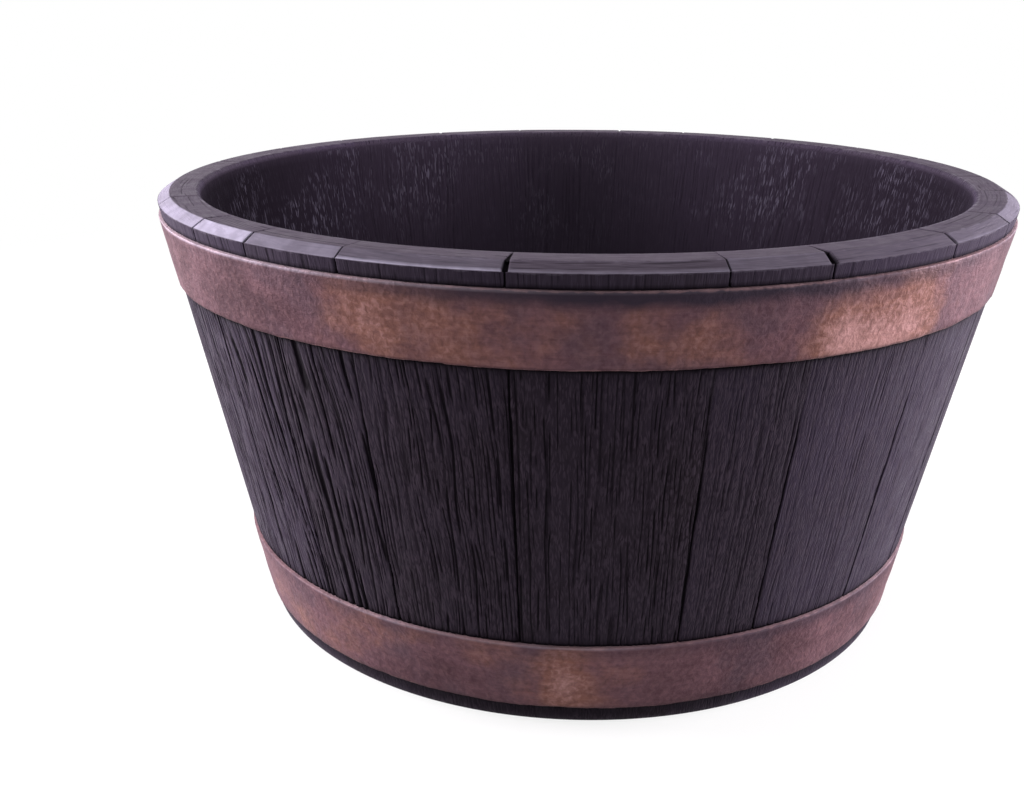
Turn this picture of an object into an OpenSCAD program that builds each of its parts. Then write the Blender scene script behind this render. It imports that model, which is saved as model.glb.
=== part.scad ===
// Half-barrel planter: a round tapered tub with moulded staves, a broad bevelled rim,
// two snap-on hoops and four drain plugs. It is double walled: an inner tub with the rim
// and floor sits in an outer shell with the staves and foot.
// Sizes are in millimetres. The origin is the centre of the foot on the ground, +Z is up,
// and -Y is the front.

/* [Overall size] */
// Diameter over the upper hoop, the widest place
rim_d = 490; // [450:1:540]
// Diameter of the foot on the ground
base_d = 390; // [350:1:420]
// Height from the ground to the top of the rim
height = 250; // [220:1:320]
// Width of the rim, from the mouth to the widest place
rim_w = 23; // [21:0.5:32]

/* [Rim] */
// Height of the rim above the upper hoop
rim_h = 11; // [10:0.5:16]
// Height of the bevel along the rim's outer edge
bevel_h = 4; // [2:0.5:5]
// Radial width of that bevel
bevel_w = 6.5; // [3:0.5:8]
// Thickness of the rim's flat top
rim_t = 3.5; // [3:0.1:4.5]
// Thickness of the skirt that hangs from the rim
skirt_t = 3.4; // [3:0.1:4]
// Radius of the rounded edge at the mouth
mouth_round = 2; // [1:0.5:3]

/* [Gussets under the rim] */
// Number of gussets
gusset_count = 24; // [12:1:36]
// Thickness of a gusset
gusset_t = 2.4; // [1.5:0.1:3]
// Height of a gusset against the wall
gusset_h = 24; // [14:1:40]
// Gap between a gusset and the spigot
gusset_gap = 0.4; // [0.2:0.1:1]

/* [Walls and floor] */
// Thickness of the outer shell's wall
shell_t = 4; // [3.5:0.1:5]
// Thickness of the inner tub's wall
tub_t = 3.2; // [2.5:0.1:4]
// Thickness of the floor
floor_t = 4; // [3:0.1:5]
// Height of the floor's underside above the ground
floor_z = 12; // [11:0.5:20]
// Radius of the corner between wall and floor
floor_round = 10; // [4:1:16]
// Bevel round the underside of the floor
floor_bevel = 1; // [0.5:0.1:2]

/* [Foot] */
// Thickness of the flange that the planter stands on
flange_t = 4; // [3:0.1:6]
// Bevel round the bottom edge of the foot
foot_bevel = 1; // [0.5:0.1:2]
// Thickness of the ring rib under the floor and of the upstand that centres it
ring_t = 3; // [2:0.1:4]
// Height of the upstand on the flange
upstand_h = 5; // [3:0.5:6]
// Gap between the ring rib and the upstand
ring_gap = 0.3; // [0.2:0.05:0.5]

/* [Floor ribs] */
// Number of ribs under the floor
rib_count = 8; // [8:8:16]
// Thickness of a floor rib
rib_t = 2.5; // [1.5:0.1:4]
// Height of a floor rib
rib_h = 6; // [3:0.5:7]
// Gap between a floor rib and the upstand
rib_gap = 1; // [0.5:0.1:2]
// Radius of the hub where the floor ribs meet
hub_r = 20; // [12:1:30]

/* [Staves] */
// Width of the groove between two staves
joint_w = 2; // [1:0.1:3]
// Depth of that groove
joint_depth = 1.6; // [1:0.1:2]
// Angle of the first groove, where -90 is the front
first_joint = -140; // [-180:1:180]

/* [Hoops] */
// Thickness of a hoop
hoop_t = 2.8; // [2.4:0.1:3.2]
// How far a hoop stands out from the staves
hoop_proud = 1.8; // [1.4:0.1:2.2]
// Height of the upper hoop
upper_hoop_h = 37; // [25:1:50]
// Height of the lower hoop
lower_hoop_h = 40; // [25:1:50]
// Height of the bare foot below the lower hoop
foot_h = 9.5; // [7:0.5:15]
// Bevel along the outer edges of a hoop
hoop_bevel = 0.8; // [0.4:0.1:1]
// Gap between a hoop and its seat
hoop_gap = 0.2; // [0.1:0.05:0.3]

/* [Snap joint] */
// Thickness of the spigot that stands up inside the skirt
spigot_t = 3.3; // [2.5:0.1:4]
// Height of the spigot
spigot_h = 4.5; // [4:0.1:5]
// Height of the snap bead round the spigot
bead_h = 0.6; // [0.4:0.1:0.8]
// Gap between the spigot and the skirt
snap_gap = 0.2; // [0.1:0.05:0.3]

/* [Drain plugs] */
// Distance of the drain holes from the centre
drain_r = 110; // [70:1:130]
// Radius of a drain hole
drain_hole_r = 9; // [6:0.5:12]
// Wall of the collar round a drain hole
collar_t = 3.5; // [2:0.1:5]
// Length of the collar below the floor
collar_h = 6; // [3:0.5:7]
// Clearance between a plug's stem and its hole
stem_gap = 0.3; // [0.2:0.05:0.5]
// Bevel at the lower end of the stem
stem_bevel = 1.2; // [0.5:0.1:2]
// How far a plug's head reaches over the edge of its hole
head_lap = 6; // [4:0.5:8]
// Thickness of a plug's head
head_t = 3; // [2:0.1:4]
// Bevel round the top of the head
head_bevel = 1.5; // [0.5:0.1:1.8]
// Depth of the recess that a plug's head sits in
recess = 2; // [1:0.1:2]
// Gap round and under a plug's head
head_gap = 0.3; // [0.2:0.05:0.5]
// Width of the grip on a plug
grip_w = 18; // [15:1:22]
// Thickness of the grip
grip_t = 4; // [3:0.1:6]
// Height of the grip
grip_h = 10; // [6:1:14]

/* [Hidden] */
// Width of each stave in degrees, in turn from the first groove; they are scaled to fill the circle
stave_widths = [11.1, 13.4, 18.3, 22.0, 11.5, 18.2, 15.5, 18.6, 13.2, 19.4, 14.5,
                17.6, 17.4, 12.1, 19.0, 15.4, 20.6, 13.8, 17.2, 19.6, 14.4, 17.2];
stave_count = len(stave_widths);
// Angle of the first drain hole, halfway between two floor ribs, and their number
first_drain = 45;
drain_count = 4;
// How far webs, ribs and collars reach into the wall that carries them
sink = 0.6;
// How far a cutter reaches past the surface that it cuts
past = 2;
round_fn = 120;

shoulder_z = height - rim_h;
bevel_z = height - bevel_h;
rim_under = height - rim_t;
floor_top = floor_z + floor_t;
upstand_top = flange_t + upstand_h;
taper = (rim_d / 2 - hoop_proud - base_d / 2) / shoulder_z;
lean = atan(taper);

// Radius of the stave faces, the hoop seats and the inner tub's wall, at a height
function face_r(z) = base_d / 2 + taper * z;
function seat_r(z) = face_r(z) + hoop_proud - hoop_t - hoop_gap;
function mouth_r(z) = rim_d / 2 - rim_w - taper * (height - z);
function tub_r(z) = mouth_r(z) + tub_t;
// Sum of the first n values of a list
function sum(list, n) = n == 0 ? 0 : list[n - 1] + sum(list, n - 1);
// Points along an arc, from one angle to another
function arc(centre, r, from, to, steps = 6) =
    [for (i = [0:steps]) let (a = from + (to - from) * i / steps) centre + r * [cos(a), sin(a)]];
// The bead round the spigot, or the groove that it snaps into, as points going up
function snap_bead(r, h) = [[r, bead_z - h], [r + h, bead_z], [r, bead_z + h]];

bevel_r = face_r(bevel_z) - bevel_w;
upper_high = shoulder_z - hoop_gap;
upper_low = upper_high - upper_hoop_h;
lower_high = foot_h + lower_hoop_h;
skirt_in = face_r(shoulder_z) - skirt_t;
spigot_out = skirt_in - snap_gap;
spigot_in = spigot_out - spigot_t;
spigot_top = shoulder_z + spigot_h;
bead_z = shoulder_z + spigot_h / 2;
ring_out = mouth_r(floor_z);
ring_in = ring_out - ring_t;
upstand_out = ring_in - ring_gap;
upstand_in = upstand_out - ring_t;

// Cuts the grooves between the staves with a blade drawn in the radial plane
module at_joints() {
    for (i = [0:stave_count - 1])
        rotate(first_joint + 360 * sum(stave_widths, i) / sum(stave_widths, stave_count))
            rotate([90, 0, 0])
                linear_extrude(joint_w, center = true)
                    children();
}

// The place of one drain hole
module at_drain(i) {
    rotate(first_drain + 360 * i / drain_count)
        translate([drain_r, 0, 0])
            children();
}

// Staved wall on a foot flange, with two hoop seats and a spigot that stands up inside the rim
module outer_shell() {
    seat_top = lower_high + hoop_gap;
    thicker_z = (spigot_in + shell_t - base_d / 2) / taper;
    color("#3b363d")
    difference() {
        rotate_extrude($fn = round_fn)
            polygon(concat(
                [[upstand_in, 0], [base_d / 2 - foot_bevel, 0], [face_r(foot_bevel), foot_bevel],
                 [face_r(foot_h), foot_h], [seat_r(foot_h), foot_h], [seat_r(seat_top), seat_top],
                 [face_r(seat_top), seat_top], [face_r(upper_low), upper_low],
                 [seat_r(upper_low), upper_low], [seat_r(shoulder_z), shoulder_z],
                 [spigot_out, shoulder_z]],
                snap_bead(spigot_out, bead_h),
                [[spigot_out, spigot_top], [spigot_in, spigot_top], [spigot_in, thicker_z],
                 [face_r(flange_t) - shell_t, flange_t], [upstand_out, flange_t],
                 [upstand_out, upstand_top], [upstand_in, upstand_top]]));
        at_joints()
            polygon([[face_r(-past) - joint_depth, -past], [face_r(-past) + past, -past],
                     [face_r(shoulder_z) + past, shoulder_z],
                     [face_r(shoulder_z) - joint_depth, shoulder_z]]);
    }
}

// Floor, wall, rim and skirt in one moulding, which stands on the foot flange by its ring rib
module inner_tub() {
    slope_r = bevel_r - rim_t / 2;
    slope_z = rim_under - (skirt_in - slope_r) * bevel_h / bevel_w;
    groove = snap_bead(skirt_in, bead_h + snap_gap / 2);
    color("#423c44")
    difference() {
        union() {
            rotate_extrude($fn = round_fn)
                polygon(concat(
                    [[0, floor_z], [ring_in, floor_z], [ring_in, flange_t], [ring_out, flange_t],
                     [ring_out, floor_z], [tub_r(floor_z) - floor_bevel, floor_z],
                     [tub_r(floor_z + floor_bevel), floor_z + floor_bevel],
                     [tub_r(rim_under), rim_under], [slope_r, rim_under], [skirt_in, slope_z],
                     groove[2], groove[1], groove[0], [skirt_in, shoulder_z],
                     [face_r(shoulder_z), shoulder_z], [face_r(bevel_z), bevel_z], [bevel_r, height]],
                    arc([mouth_r(height) + mouth_round, height - mouth_round], mouth_round, 90, 180 - lean),
                    arc([mouth_r(floor_top + floor_round) - floor_round, floor_top + floor_round],
                        floor_round, -lean, -90),
                    [[0, floor_top]]));
            rim_gussets();
            floor_ribs();
            for (i = [0:drain_count - 1])
                at_drain(i)
                    translate([0, 0, floor_z - collar_h])
                        cylinder(r = drain_hole_r + collar_t, h = collar_h + sink, $fn = round_fn);
        }
        for (i = [0:drain_count - 1])
            at_drain(i) {
                translate([0, 0, floor_z - collar_h - past])
                    cylinder(r = drain_hole_r, h = collar_h + floor_t + 2 * past, $fn = round_fn);
                translate([0, 0, floor_top - recess])
                    cylinder(r = drain_hole_r + head_lap + head_gap, h = recess + past, $fn = round_fn);
            }
        at_joints()
            polygon([[mouth_r(height) - past, height - joint_depth],
                     [bevel_r - joint_depth / 2, height - joint_depth],
                     [face_r(bevel_z) - joint_depth, bevel_z - joint_depth / 2],
                     [face_r(shoulder_z) - joint_depth, shoulder_z - past],
                     [face_r(bevel_z) + past, shoulder_z - past],
                     [face_r(bevel_z) + past, height + past], [mouth_r(height) - past, height + past]]);
    }
}

// Triangular webs under the rim, from the tub's wall out to the spigot
module rim_gussets() {
    low = rim_under - gusset_h;
    reach = spigot_in - gusset_gap;
    for (i = [0:gusset_count - 1])
        rotate(360 * i / gusset_count)
            rotate([90, 0, 0])
                linear_extrude(gusset_t, center = true)
                    polygon([[tub_r(low) - sink, low], [reach, spigot_top - sink],
                             [reach, rim_under + sink], [tub_r(rim_under) - sink, rim_under + sink]]);
}

// Radial ribs and a hub ring under the floor; the ribs step up over the upstand
module floor_ribs() {
    low = floor_z - rib_h;
    step_r = upstand_in - rib_gap;
    step_z = max(low, upstand_top + rib_gap);
    for (i = [0:rib_count - 1])
        rotate(360 * (i + 0.5) / rib_count)
            rotate([90, 0, 0])
                linear_extrude(rib_t, center = true)
                    polygon([[hub_r - sink, low], [step_r, low], [step_r, step_z], [ring_in + sink, step_z],
                             [ring_in + sink, floor_z + sink], [hub_r - sink, floor_z + sink]]);
    translate([0, 0, low])
        difference() {
            cylinder(r = hub_r, h = rib_h + sink, $fn = round_fn);
            translate([0, 0, -past])
                cylinder(r = hub_r - rib_t, h = rib_h + past, $fn = round_fn);
        }
}

// A tapered ring in its seat, from one height to another
module hoop(low, high) {
    rotate_extrude($fn = round_fn)
        polygon([[seat_r(low) + hoop_gap, low],
                 [face_r(low) + hoop_proud - hoop_bevel, low],
                 [face_r(low + hoop_bevel) + hoop_proud, low + hoop_bevel],
                 [face_r(high - hoop_bevel) + hoop_proud, high - hoop_bevel],
                 [face_r(high) + hoop_proud - hoop_bevel, high],
                 [seat_r(high) + hoop_gap, high]]);
}

module upper_hoop() {
    color("#8c5b49")
    hoop(upper_low, upper_high);
}

module lower_hoop() {
    color("#7e5347")
    hoop(foot_h, lower_high);
}

// A bung with a round head in the floor's recess and an upright grip to pull it by
module drain_plug(i) {
    stem_low = floor_z - collar_h;
    stem_r = drain_hole_r - stem_gap;
    head_r = drain_hole_r + head_lap;
    head_low = floor_top - recess + head_gap;
    head_top = head_low + head_t;
    grip_round = grip_h / 2;
    color("#1d1c1f")
    at_drain(i)
    union() {
        rotate_extrude($fn = round_fn)
            polygon([[0, stem_low], [stem_r - stem_bevel, stem_low], [stem_r, stem_low + stem_bevel],
                     [stem_r, head_low], [head_r, head_low], [head_r, head_top - head_bevel],
                     [head_r - head_bevel, head_top], [0, head_top]]);
        rotate([90, 0, 0])
            linear_extrude(grip_t, center = true)
                polygon(concat([[grip_w / 2, head_top - sink]],
                    arc([grip_w / 2 - grip_round, head_top + grip_h - grip_round], grip_round, 0, 90),
                    arc([grip_round - grip_w / 2, head_top + grip_h - grip_round], grip_round, 90, 180),
                    [[-grip_w / 2, head_top - sink]]));
    }
}

outer_shell();
inner_tub();
upper_hoop();
lower_hoop();
drain_plug(0);  // drain_plug_1
drain_plug(1);  // drain_plug_2
drain_plug(2);  // drain_plug_3
drain_plug(3);  // drain_plug_4
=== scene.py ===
import math

import bmesh
import bpy
import numpy as np
from mathutils import Matrix, Vector


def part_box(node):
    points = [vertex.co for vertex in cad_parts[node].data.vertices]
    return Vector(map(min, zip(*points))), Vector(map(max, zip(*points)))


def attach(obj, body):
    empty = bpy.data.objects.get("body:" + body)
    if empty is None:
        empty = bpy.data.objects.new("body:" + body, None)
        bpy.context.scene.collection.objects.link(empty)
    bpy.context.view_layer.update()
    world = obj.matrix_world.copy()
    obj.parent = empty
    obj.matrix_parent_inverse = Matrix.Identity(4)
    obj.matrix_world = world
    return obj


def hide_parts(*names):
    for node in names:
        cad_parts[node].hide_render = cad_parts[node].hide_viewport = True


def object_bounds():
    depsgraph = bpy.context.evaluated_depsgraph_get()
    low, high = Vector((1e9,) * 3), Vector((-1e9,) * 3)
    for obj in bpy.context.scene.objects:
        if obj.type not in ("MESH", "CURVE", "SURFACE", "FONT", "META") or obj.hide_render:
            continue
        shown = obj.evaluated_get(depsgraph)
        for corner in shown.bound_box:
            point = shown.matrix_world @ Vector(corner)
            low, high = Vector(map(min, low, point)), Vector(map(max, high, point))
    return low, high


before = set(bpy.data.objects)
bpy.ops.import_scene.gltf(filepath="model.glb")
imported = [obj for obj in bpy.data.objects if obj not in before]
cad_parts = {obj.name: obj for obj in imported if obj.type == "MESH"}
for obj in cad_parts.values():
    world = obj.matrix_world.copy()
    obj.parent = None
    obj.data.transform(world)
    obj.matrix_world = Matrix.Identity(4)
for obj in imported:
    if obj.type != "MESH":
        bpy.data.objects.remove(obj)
cadLow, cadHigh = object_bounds()
print("frame loaded")

mm = 0.001

# The barrel's driving sizes in mm. Its height and hoops come from the frame.
barrel = {
    "footRadius": 195.0,     # on the ground
    "topRadius": 245.0,      # over the upper hoop
    "hoopProud": 1.8,        # how far the hoops stand out from the staves
    "seatDepth": 1.2,        # how deep the hoops' seats are
    "rimWidth": 23.0,
    "skirt": 3.4,            # wall of the skirt under the rim
    "bevelHeight": 4.0,
    "bevelWidth": 6.5,
    "rimThick": 3.5,
    "mouthRound": 2.0,
    "shellWall": 4.0,
    "tubWall": 3.2,
    "floorUnder": 12.0,      # underside of the floor
    "floorTop": 16.0,
    "floorRound": 10.0,
    "flange": 4.0,
    "upstand": 9.0,          # top of the upstand
    "upstandIn": 167.7,
    "upstandOut": 170.7,
    "spigotWall": 3.3,
    "spigotTop": 243.5,
    "snapGap": 0.2,
    "bead": 0.6,
    "beadMiddle": 241.25,
}

# Staves in turn from the first joint, in degrees; -90 faces the camera.
# coarse goes from 0, straight grain, to 1, wavy and slanting; deep is how strongly it is cut.
staves = {
    "firstJoint": -140.0,
    "widths": [11.1, 13.4, 18.3, 22.0, 11.5, 18.2, 15.5, 18.6, 13.2, 19.4, 14.5,
               17.6, 17.4, 12.1, 19.0, 15.4, 20.6, 13.8, 17.2, 19.6, 14.4, 17.2],
    "coarse": [0.8, 1.0, 0.45, 0.08, 0.06, 0.03, 0.02, 0.25, 0.6, 0.1, 0.45,
               0.85, 0.2, 0.05, 0.5, 0.15, 0.75, 0.3, 0.05, 0.2, 0.35, 0.5],
    "deep": [0.8, 0.95, 0.5, 0.38, 0.22, 0.15, 0.12, 0.3, 0.7, 0.35, 0.55,
             0.8, 0.4, 0.2, 0.6, 0.3, 0.75, 0.45, 0.2, 0.3, 0.4, 0.55],
    # how far open each joint is just under the upper hoop; all are open at the foot
    "open": [0.5, 0.45, 0.3, 0.95, 0.12, 0.2, 0.3, 0.5, 0.3, 0.7, 0.2,
             0.6, 0.9, 0.3, 0.5, 0.2, 0.8, 0.4, 0.6, 0.2, 0.5, 0.4],
    # how far the rim's bevel is pale: rubbed wear, with a painted highlight on the staves to the left of the
    # front
    "rubbedAndLit": [0.9, 0.3, 0.1, 0.0, 0.1, 0.05, 0.1, 0.3, 0.0, 0.5, 0.2,
               0.05, 0.6, 0.3, 0.0, 0.2, 0.4, 0.1, 0.0, 0.4, 0.55, 0.65],
    # how far each stave's colour leans from warm black to a lighter violet: a tone that varies from stave to
    # stave, and painted sheen on the staves at the left and right of the front
    "violetAndSheen": [0.8, 0.3, 0.15, 0.0, 0.3, 0.8, 1.0, 0.9, 0.5, 0.3, 0.1,
               0.4, 0.7, 0.2, 0.0, 0.5, 0.3, 0.8, 0.4, 0.2, 0.6, 0.9],
    # how pale the bevel's lower edge is, as wear and as a painted highlight
    "edgeWearAndHighlight": [0.6, 0.5, 0.95, 0.3, 0.1, 0.1, 0.35, 0.5, 0.2, 0.6, 0.3,
              0.1, 0.7, 0.4, 0.1, 0.3, 0.6, 0.2, 0.1, 0.5, 0.6, 0.6],
    # how wide each joint is broken open at the rim's edge, in mm, from the first joint
    "chip": [0.9, 1.9, 1.0, 2.0, 1.2, 2.1, 1.2, 0.9, 1.6, 0.8, 1.7,
             1.0, 1.9, 0.8, 1.4, 0.9, 1.8, 1.1, 0.8, 1.6, 0.9, 0.8],
    "radius": 220.0,         # widths in mm are measured round this circle
    "beside": [0.0, 0.45, 0.9, 1.35, 1.8],   # columns beside a joint, in mm
    "spacing": 0.66,         # of all other columns
    "stride": 4,             # hidden rows take every fourth column
}

upperHoop = [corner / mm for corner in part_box("upper_hoop")]
lowerHoop = [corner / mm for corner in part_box("lower_hoop")]
height = cadHigh.z / mm
shoulder = upperHoop[1].z + barrel["snapGap"]      # where the skirt ends
taper = (barrel["topRadius"] - barrel["hoopProud"] - barrel["footRadius"]) / shoulder
bevelZ = height - barrel["bevelHeight"]
rimUnder = height - barrel["rimThick"]


# Radius of the stave faces, of the hoops' seats and of the liner's inner face at a height
def faceRadius(z):
    return barrel["footRadius"] + taper * z


def seatRadius(z):
    return faceRadius(z) - barrel["seatDepth"]


def linerRadius(z):
    return barrel["topRadius"] - barrel["rimWidth"] - taper * (height - z)


bevelRadius = faceRadius(bevelZ) - barrel["bevelWidth"]
skirtInside = faceRadius(shoulder) - barrel["skirt"]
spigotOutside = skirtInside - barrel["snapGap"]
spigotInside = spigotOutside - barrel["spigotWall"]
floorEdge = linerRadius(barrel["floorTop"] + barrel["floorRound"]) - barrel["floorRound"]


# Building node trees

class Wire:
    # an output of a node that can be reckoned with like a number
    def __init__(self, end):
        self.end, self.tree = end, end.id_data

    def __add__(self, other):
        return calc("ADD", self, other)

    def __sub__(self, other):
        return calc("SUBTRACT", self, other)

    def __rsub__(self, other):
        return calc("SUBTRACT", other, self)

    def __mul__(self, other):
        return calc("MULTIPLY", self, other)

    def __truediv__(self, other):
        return calc("DIVIDE", self, other)

    def __rtruediv__(self, other):
        return calc("DIVIDE", other, self)


def socket(sockets, key):
    # by place, or by name among those that the node's settings leave in use
    if isinstance(key, int):
        return sockets[key]
    return next(one for one in sockets if one.name == key and one.enabled)


def put(tree, kind, inputs=None, **settings):
    # a node with its settings and its inputs, which are values or wires
    made = tree.nodes.new(kind)
    for key, value in settings.items():
        setattr(made, key, value)
    for key, value in (inputs or {}).items():
        if isinstance(value, Wire):
            tree.links.new(value.end, socket(made.inputs, key))
        else:
            socket(made.inputs, key).default_value = value
    return made


def out(made, key=0):
    return Wire(socket(made.outputs, key))


def treeOf(values):
    return next(value.tree for value in values if isinstance(value, Wire))


def calc(operation, *values, clamp=False):
    return out(put(treeOf(values), "ShaderNodeMath", dict(enumerate(values)), operation=operation,
                   use_clamp=clamp))


def most(one, two):
    return calc("MAXIMUM", one, two)


def ramp(value, low, high, start=0.0, end=1.0):
    # smooth step from start to end as value goes from low to high
    return out(put(value.tree, "ShaderNodeMapRange",
                   {"Value": value, "From Min": low, "From Max": high, "To Min": start, "To Max": end},
                   interpolation_type="SMOOTHSTEP"), "Result")


def vector(x, y, z):
    return out(put(treeOf((x, y, z)), "ShaderNodeCombineXYZ", {"X": x, "Y": y, "Z": z}))


def parts(place):
    split = put(place.tree, "ShaderNodeSeparateXYZ", {0: place})
    return [out(split, key) for key in "XYZ"]


def noise(place, scale=1.0, detail=1.0, rough=0.5, distortion=0.0):
    return out(put(place.tree, "ShaderNodeTexNoise",
                   {"Vector": place, "Scale": scale, "Detail": detail, "Roughness": rough,
                    "Distortion": distortion}))


def chance(number):
    # from 0 to 1, and always the same for a number
    return out(put(number.tree, "ShaderNodeTexWhiteNoise", {"W": number}, noise_dimensions="1D"), "Value")


def objectPlace(tree):
    return out(put(tree, "ShaderNodeTexCoord"), "Object")


def layers(base, coats):
    # colours laid over a base one after another, each with its share
    for share, colour in coats:
        base = out(put(share.tree, "ShaderNodeMix", {"Factor": share, "A": base, "B": colour},
                       data_type="RGBA"), "Result")
    return base


def emptyTree(owner):
    # node tree of a material or world, with nothing in it
    owner.use_nodes = True
    owner.node_tree.nodes.clear()
    return owner.node_tree


def link(piece):
    bpy.context.scene.collection.objects.link(piece)
    return piece


# Camera, floor and light

# Eye and angles fitted to the photographed outline; yaw turns to the left
shot = {"eye": (0.0, -0.7179, 0.3560), "pitch": 19.4, "yaw": 3.29, "lens": 41.72, "sensor": 36.0}
studio = {
    "floorSize": 14.0,
    "shadowDepth": 0.2,      # how much of the floor's white comes from the lamps, near the barrel
    "shadowNear": 0.35,      # metres from the middle where that begins to fade
    "shadowReach": 1.3,      # and where the floor is plain white
    "bounce": 0.42,          # the floor's colour for the light that it throws back
    "ambient": 0.18,
    "shadeUnder": 0.3,      # colour of the ground under the barrel, painted dark as its shade; it shows only through a drain hole
    "groundEdge": (0.17, 0.19),
}
softboxes = [
    # name, place, aims at, width, height, watts, colour
    ("leftBox", (-1.6, 0.2, 0.6), (0, 0, 0.15), 0.9, 1.05, 71, (1.0, 0.94, 1.0)),
    ("rightBox", (1.6, 0.2, 0.5), (0, 0, 0.15), 0.9, 0.9, 62, (1.0, 0.94, 1.0)),
    ("backStrip", (-1.25, 1.75, 0.78), (-0.15, 0, 0.25), 1.3, 0.5, 3, (1.0, 1.0, 1.0)),
    ("topBox", (0.0, -0.25, 1.8), (0, 0, 0.2), 1.4, 1.0, 14, (1.0, 1.0, 1.0)),
    ("frontFill", (0.1, -1.3, 1.75), (0, 0.1, 0.15), 1.4, 0.8, 4.0, (1.0, 1.0, 1.0)),
]


def aimCamera():
    data = bpy.data.cameras.new("camera")
    data.lens = shot["lens"]
    data.sensor_width = shot["sensor"]
    camera = link(bpy.data.objects.new("camera", data))
    camera.location = shot["eye"]
    camera.rotation_euler = (math.radians(90 - shot["pitch"]), 0, math.radians(shot["yaw"]))
    bpy.context.scene.camera = camera


def backgroundOrLit(tree, lit, background):
    # the background for rays from the camera, in gloss or through something clear
    path = put(tree, "ShaderNodeLightPath")
    seen = most(out(path, "Is Camera Ray"), out(path, "Is Glossy Ray"))
    seen = most(seen, out(path, "Is Transmission Ray"))
    return out(put(tree, "ShaderNodeMixShader", {0: seen, 1: out(lit), 2: out(background)}))


def layFloor():
    size = studio["floorSize"]
    mesh = bpy.data.meshes.new("floor")
    mesh.from_pydata([(-size, -size, 0), (size, -size, 0), (size, size, 0), (-size, size, 0)],
                     [], [(0, 1, 2, 3)])
    floor = link(bpy.data.objects.new("floor", mesh))
    material = bpy.data.materials.new("paleFloor")
    tree = emptyTree(material)
    away = out(put(tree, "ShaderNodeVectorMath", {0: objectPlace(tree)}, operation="LENGTH"), "Value")
    near = ramp(away, studio["shadowNear"], studio["shadowReach"], studio["shadowDepth"], 0.0)
    under = ramp(away, *studio["groundEdge"], 1.0, 0.0)
    glow = put(tree, "ShaderNodeEmission", {"Color": (1, 1, 1, 1), "Strength": 1.0 - most(near, under)})
    # under the barrel the ground is painted dark as its shade
    seen = put(tree, "ShaderNodeBsdfDiffuse", {"Color": most(near, under * studio["shadeUnder"])})
    both = put(tree, "ShaderNodeAddShader", {0: out(seen), 1: out(glow)})
    bounce = studio["bounce"]
    thrown = put(tree, "ShaderNodeBsdfDiffuse", {"Color": (bounce, bounce, bounce, 1)})
    put(tree, "ShaderNodeOutputMaterial", {"Surface": backgroundOrLit(tree, thrown, both)})
    mesh.materials.append(material)


def lightStudio():
    world = bpy.data.worlds.new("studio")
    bpy.context.scene.world = world
    tree = emptyTree(world)
    dim, white = [put(tree, "ShaderNodeBackground", {"Color": (1, 1, 1, 1), "Strength": strength})
                  for strength in (studio["ambient"], 1.0)]
    put(tree, "ShaderNodeOutputWorld", {"Surface": backgroundOrLit(tree, dim, white)})
    for name, place, target, width, tall, watts, colour in softboxes:
        data = bpy.data.lights.new(name, "AREA")
        data.shape = "RECTANGLE"
        data.size = width
        data.size_y = tall
        data.energy = watts
        data.color = colour
        lamp = link(bpy.data.objects.new(name, data))
        lamp.location = place
        lamp.rotation_euler = (Vector(target) - Vector(place)).to_track_quat("-Z", "Y").to_euler()


aimCamera()
layFloor()
lightStudio()
bpy.context.scene.view_settings.view_transform = "Standard"
print("camera, floor and light")


# Turned shapes

def giveValues(mesh, name, values, kind="FLOAT"):
    # one value for each point of a mesh, for trees and finishes to read by name
    made = mesh.attributes.get(name) or mesh.attributes.new(name, kind, "POINT")
    made.data.foreach_set("value" if kind == "FLOAT" else "vector",
                          np.asarray(values, dtype=np.float32).ravel())


def readValues(mesh, name):
    values = np.zeros(len(mesh.vertices), dtype=np.float32)
    mesh.attributes[name].data.foreach_get("value", values)
    return values


def staveColumns():
    # where the columns stand round the barrel and what each one knows of its stave and joint
    radius, beside, stride = staves["radius"], np.array(staves["beside"]), staves["stride"]
    ofStave, ofJoint = ("coarse", "deep", "rubbedAndLit", "violetAndSheen", "edgeWearAndHighlight"), ("chip", "open")
    columns = {key: [] for key in ("angle", "across", "stave", "joint", "gap") + ofStave + ofJoint}
    start, count = staves["firstJoint"], len(staves["widths"])
    for number, width in enumerate(staves["widths"]):
        wide = math.radians(width) * radius
        near = 2 * len(beside) - 1
        clear = wide - 2 * beside[-1]
        total = stride * round((near + clear / staves["spacing"] - 1) / stride)
        between = np.linspace(beside[-1], wide - beside[-1], total - near + 2)[1:-1]
        places = np.concatenate([beside, between, wide - beside[:0:-1]])
        nearer = np.where(places < wide / 2, number, (number + 1) % count)
        columns["angle"].extend(math.radians(start) + places / radius)
        columns["across"].extend(places - wide / 2)
        columns["stave"].extend([float(number)] * total)
        columns["joint"].extend(nearer.astype(float))
        columns["gap"].extend(np.minimum(places, wide - places))
        for key in ofStave:
            columns[key].extend([staves[key][number]] * total)
        for key in ofJoint:
            columns[key].extend(np.array(staves[key])[nearer])
        start += width
    return {key: np.array(values) for key, values in columns.items()}


def evenColumns(count):
    return {"angle": np.linspace(0, 2 * math.pi, count, endpoint=False)}


def rowNormals(rows):
    # outward direction of each row of a profile, averaged over the worked faces beside it
    count = len(rows)
    points = np.array([(row[0], row[1]) for row in rows])
    step = np.roll(points, -1, axis=0) - points
    step /= np.maximum(np.linalg.norm(step, axis=1), 1e-9)[:, None]
    side = np.stack([step[:, 1], -step[:, 0]], axis=1)
    normals = np.zeros_like(points)
    for index, row in enumerate(rows):
        before, after = (index - 1) % count, (index + 1) % count
        if row[2] and rows[before][2]:
            normals[index] += side[before]
        if row[2] and rows[after][2]:
            normals[index] += side[index]
    length = np.linalg.norm(normals, axis=1)
    return normals / np.maximum(length, 1e-9)[:, None]


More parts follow.
